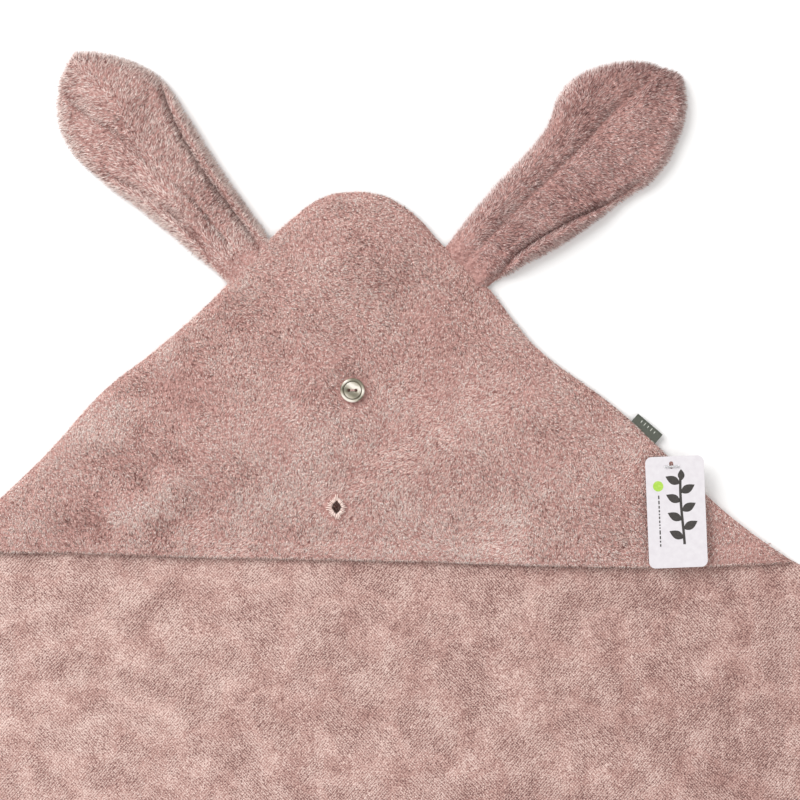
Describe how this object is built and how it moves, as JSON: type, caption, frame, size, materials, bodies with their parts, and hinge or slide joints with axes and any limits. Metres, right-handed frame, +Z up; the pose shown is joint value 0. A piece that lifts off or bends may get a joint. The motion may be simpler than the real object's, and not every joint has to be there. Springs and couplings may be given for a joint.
{
  "type": "hooded baby towel",
  "caption": "Plush towel laid flat, with a sewn hood corner, long floppy ears, a shell button, a worked eyelet, a side label and a card tag.",
  "frame": {"origin": "middle of the towel, on the surface it lies on", "axes": "+X to the right, +Y from the middle of the towel to its hooded corner, +Z up off the surface"},
  "size_m": [1.2968, 1.2636, 0.0182],
  "materials": {
    "terry_cloth": "matte loop pile",
    "plush_terry": "matte long pile",
    "sewing_thread": "spun polyester thread",
    "eyelet_thread": "mercerised buttonhole thread",
    "shell": "polished shell",
    "woven_label": "woven satin tape",
    "card": "coated card",
    "nylon": "clear moulded nylon"
  },
  "bodies": {
    "towel": {"towel_body": "terry_cloth", "towel_hem_thread": "sewing_thread", "hood_seam_left": "sewing_thread", "hood_seam_right": "sewing_thread"},
    "hood": {"hood_panel": "plush_terry", "hood_hem_thread": "sewing_thread", "eyelet_thread": "eyelet_thread", "button_thread": "sewing_thread"},
    "button": {"shell_button": "shell"},
    "ear_left": {"ear_left_front": "plush_terry", "ear_left_back": "plush_terry", "ear_left_seam": "sewing_thread"},
    "ear_right": {"ear_right_front": "plush_terry", "ear_right_back": "plush_terry", "ear_right_seam": "sewing_thread"},
    "label": {"side_label": "woven_label"},
    "fastener": {"tag_fastener": "nylon"},
    "tag": {"hang_tag": "card"}
  },
  "joints": [
    {"name": "hood_opening", "type": "hinge", "parent": "towel", "child": "hood", "pos_m": [-0.01178, 0.58704, 0.0045], "axis": [-1, 0, 0], "range_deg": [0, 20]},
    {"name": "ear_left_fold", "type": "hinge", "parent": "towel", "child": "ear_left", "pos_m": [-0.07195, 0.54548, 0.008], "axis": [-0.7302, -0.6833, 0], "range_deg": [-110, 0]},
    {"name": "ear_right_fold", "type": "hinge", "parent": "towel", "child": "ear_right", "pos_m": [0.05984, 0.53944, 0.008], "axis": [-0.757, 0.6534, 0], "range_deg": [-110, 0]},
    {"name": "label_flip", "type": "hinge", "parent": "towel", "child": "label", "pos_m": [0.17302, 0.44253, 0.004], "axis": [0.757, -0.6534, 0], "range_deg": [0, 75]},
    {"name": "button_tilt", "type": "hinge", "parent": "hood", "child": "button", "pos_m": [-0.00853, 0.46676, 0.01465], "axis": [1, 0, 0], "range_deg": [-8, 8]},
    {"name": "tag_swing", "type": "hinge", "parent": "hood", "child": "fastener", "pos_m": [0.18731, 0.4199, 0.0161], "axis": [0, 0, 1], "range_deg": [-30, 30]},
    {"name": "tag_lift", "type": "hinge", "parent": "fastener", "child": "tag", "pos_m": [0.18731, 0.4199, 0.0161], "axis": [-0.9992, -0.0401, 0], "range_deg": [0, 45]}
  ]
}
